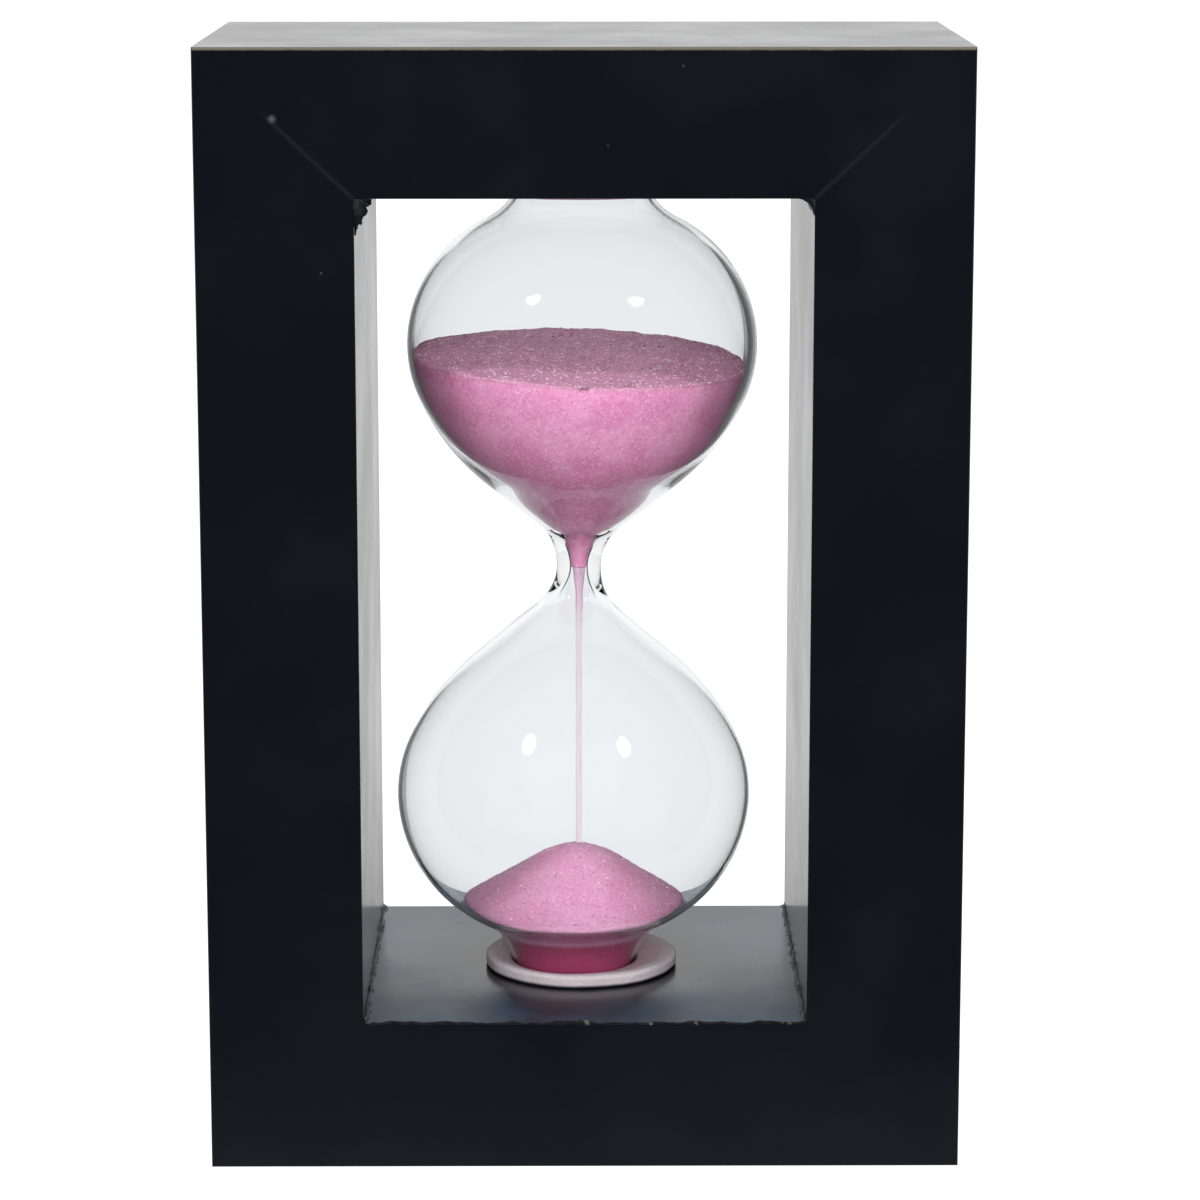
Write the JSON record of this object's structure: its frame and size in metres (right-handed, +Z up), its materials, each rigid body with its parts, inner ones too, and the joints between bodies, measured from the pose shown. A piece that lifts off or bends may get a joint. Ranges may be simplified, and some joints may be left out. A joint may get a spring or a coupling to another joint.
{
  "type": "hourglass",
  "caption": "Sand timer: a two-bulb glass vial with pink sand, held between the rails of a black rectangular wooden frame; stands on either end.",
  "frame": {"origin": "centre of the base face of the wooden frame, where it stands", "axes": "+Z up along the vial, from the lower bulb to the upper bulb; +Y to the back, through the window; +X to the right seen from the front"},
  "size_m": [0.101, 0.06, 0.1505],
  "materials": {
    "black_lacquer": "satin black lacquer over medium-density fibreboard, thin at the arrises",
    "brad_steel": "plain bright wire",
    "filler": "hard filler, lacquered over",
    "glass": "clear, thin blown borosilicate, thicker at the neck",
    "cork": "plain agglomerated cork",
    "collar_rubber": "soft matte off-white, hand cut",
    "pink_sand": "dry dyed quartz sand, grains about 0.15 mm"
  },
  "bodies": {
    "root": {"top_rail": "black_lacquer", "bottom_rail": "black_lacquer", "left_stile": "black_lacquer", "right_stile": "black_lacquer", "corner_brads": "brad_steel", "brad_fillers": "filler", "glass_vial": "glass", "stopper": "cork", "upper_socket_disc": "cork", "lower_socket_disc": "cork", "upper_collar": "collar_rubber", "lower_collar": "collar_rubber", "upper_sand": "pink_sand", "lower_sand": "pink_sand", "sand_stream": "pink_sand"}
  },
  "joints": []
}
